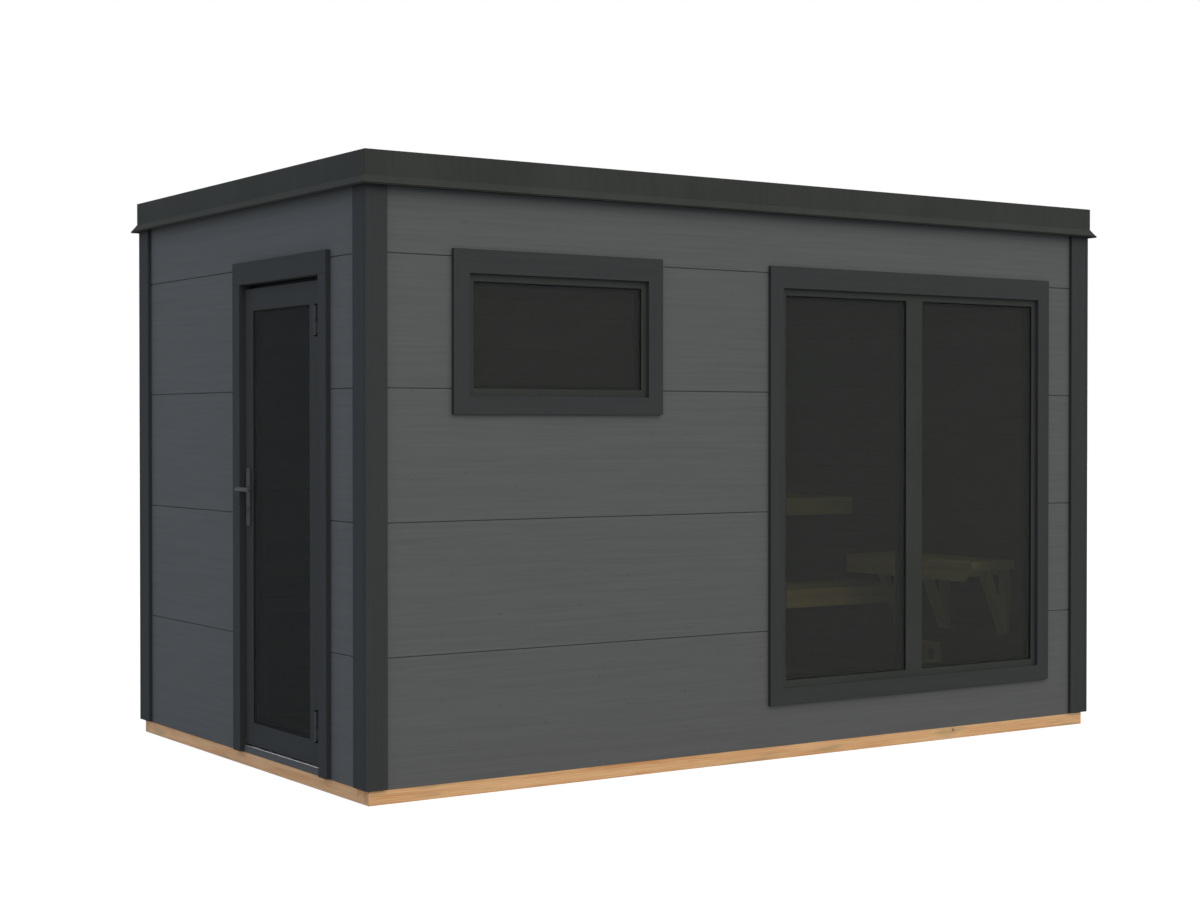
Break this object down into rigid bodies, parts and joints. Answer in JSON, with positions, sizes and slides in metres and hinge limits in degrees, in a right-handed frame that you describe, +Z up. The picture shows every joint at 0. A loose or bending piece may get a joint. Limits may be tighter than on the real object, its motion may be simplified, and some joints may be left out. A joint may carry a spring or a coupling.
{
  "type": "garden sauna house",
  "caption": "Flat-roofed timber garden sauna cabin with a glazed door that opens outward, a low and a high window, tiered benches inside and a timber bearer base.",
  "frame": {"origin": "on the underside of the base, in the middle of the plan", "axes": "+X along the long front wall away from the door wall, +Y from the window front to the back, +Z up"},
  "size_m": [4.0765, 2.434, 2.55],
  "materials": {
    "base_pine": "planed pine",
    "floor_boards": "oiled boards",
    "inner_lining": "heat-treated boards",
    "cladding_paint": "opaque stain over fine grain",
    "trim_paint": "opaque paint",
    "door_paint": "satin paint",
    "frame_paint": "satin paint",
    "edge_metal": "satin",
    "roof_felt": "matte roofing membrane",
    "window_glass": "tinted clear glass",
    "threshold_metal": "satin",
    "hinge_steel": "zinc plated",
    "handle_metal": "matte black",
    "bench_timber": "smooth planed"
  },
  "bodies": {
    "house": {"long_bearers": "base_pine", "end_bearers": "base_pine", "floor_joists": "base_pine", "floor": "floor_boards", "front_wall": "inner_lining", "back_wall": "inner_lining", "right_wall": "inner_lining", "door_wall_front": "inner_lining", "door_wall_back": "inner_lining", "door_wall_over": "inner_lining", "front_cladding": "cladding_paint", "back_cladding": "cladding_paint", "right_cladding": "cladding_paint", "door_wall_cladding": "cladding_paint", "corner_boards_long": "trim_paint", "corner_boards_end": "trim_paint", "ceiling": "inner_lining", "roof_joists": "base_pine", "roof_deck": "base_pine", "roof_cover": "roof_felt", "roof_edge_long": "edge_metal", "roof_edge_end": "edge_metal", "small_window_trim": "trim_paint", "small_window_frame": "frame_paint", "small_window_pane": "window_glass", "large_window_trim": "trim_paint", "large_window_frame": "frame_paint", "large_window_panes": "window_glass", "door_trim_legs": "trim_paint", "door_trim_head": "trim_paint", "door_jambs": "door_paint", "door_frame_head": "door_paint", "door_sill": "cladding_paint", "door_threshold": "threshold_metal", "hinge_fixed": "hinge_steel", "bench_seats": "bench_timber", "bench_fronts": "bench_timber", "bench_posts": "bench_timber", "bench_crossbars": "bench_timber", "side_bench_brackets": "bench_timber", "wall_vent": "bench_timber"},
    "door": {"door_leaf": "door_paint", "door_pane": "window_glass", "hinge_moving": "hinge_steel", "handle_plates": "handle_metal"},
    "handle": {"lever_outer": "handle_metal", "lever_inner": "handle_metal"}
  },
  "joints": [
    {"name": "door_swing", "type": "hinge", "parent": "house", "child": "door", "pos_m": [-1.991, -0.731, 1], "axis": [0, 0, 1], "range_deg": [0, 110]},
    {"name": "handle_turn", "type": "hinge", "parent": "door", "child": "handle", "pos_m": [-1.957, -0.0505, 1.206], "axis": [1, 0, 0], "range_deg": [0, 40], "stiffness_Nm_per_rad": 2, "springref_deg": -17.19}
  ]
}
